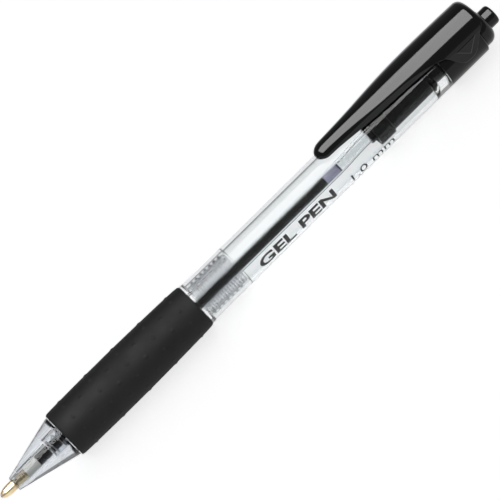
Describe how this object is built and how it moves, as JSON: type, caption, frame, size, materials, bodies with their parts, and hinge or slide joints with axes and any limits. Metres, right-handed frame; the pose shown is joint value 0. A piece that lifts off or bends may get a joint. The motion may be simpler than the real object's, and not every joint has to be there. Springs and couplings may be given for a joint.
{
  "type": "gel pen",
  "caption": "Retractable pen with a clear body, a dotted soft grip, a push button, a sprung refill and a pocket clip",
  "frame": {"origin": "under the middle of the pen's length, on the ground that the grip touches", "axes": "-X towards the writing point, +X towards the push button, +Z towards the clip"},
  "size_m": [0.1436, 0.012, 0.0144],
  "materials": {
    "clear_plastic": "clear, polished",
    "black_gloss": "gloss moulded",
    "black_rubber": "matte with low nubs",
    "brass_gold": "turned, bright",
    "steel": "drawn wire and polished ball",
    "milky_plastic": "translucent",
    "black_ink": "wet",
    "lilac_grease": "wet"
  },
  "bodies": {
    "barrel": {"barrel": "clear_plastic", "cam_sleeve": "black_gloss", "rear_housing": "black_gloss", "rear_collar": "black_gloss", "clip_saddle": "black_gloss", "return_spring": "steel"},
    "front": {"front_section": "clear_plastic", "grip_sleeve": "black_rubber"},
    "button": {"push_button": "black_gloss"},
    "refill": {"writing_ball": "steel", "point_cone": "brass_gold", "point_holder": "milky_plastic", "refill_tube": "clear_plastic", "ink_fill": "black_ink", "grease_follower": "lilac_grease"},
    "rotor": {"cam_rotor": "black_gloss"},
    "clip": {"clip_arm": "black_gloss"}
  },
  "joints": [
    {"name": "front_draw", "type": "slide", "parent": "barrel", "child": "front", "axis": [1, 0, 0], "range_m": [-0.014, 0]},
    {"name": "button_slide", "type": "slide", "parent": "barrel", "child": "button", "axis": [1, 0, 0], "range_m": [-0.0012, 0.005]},
    {"name": "refill_slide", "type": "slide", "parent": "barrel", "child": "refill", "axis": [1, 0, 0], "range_m": [-0.0012, 0.005], "deforming": ["return_spring"]},
    {"name": "rotor_turn", "type": "hinge", "parent": "refill", "child": "rotor", "pos_m": [0.0352, 0, 0.006], "axis": [1, 0, 0], "continuous": true},
    {"name": "clip_flex", "type": "hinge", "parent": "barrel", "child": "clip", "pos_m": [0.0548, 0, 0.0129], "axis": [0, 1, 0], "range_deg": [0, 4], "stiffness_Nm_per_rad": 1.6}
  ],
  "couplings": [
    {"joint": "refill_slide", "follows": "button_slide", "ratio": 1}
  ]
}
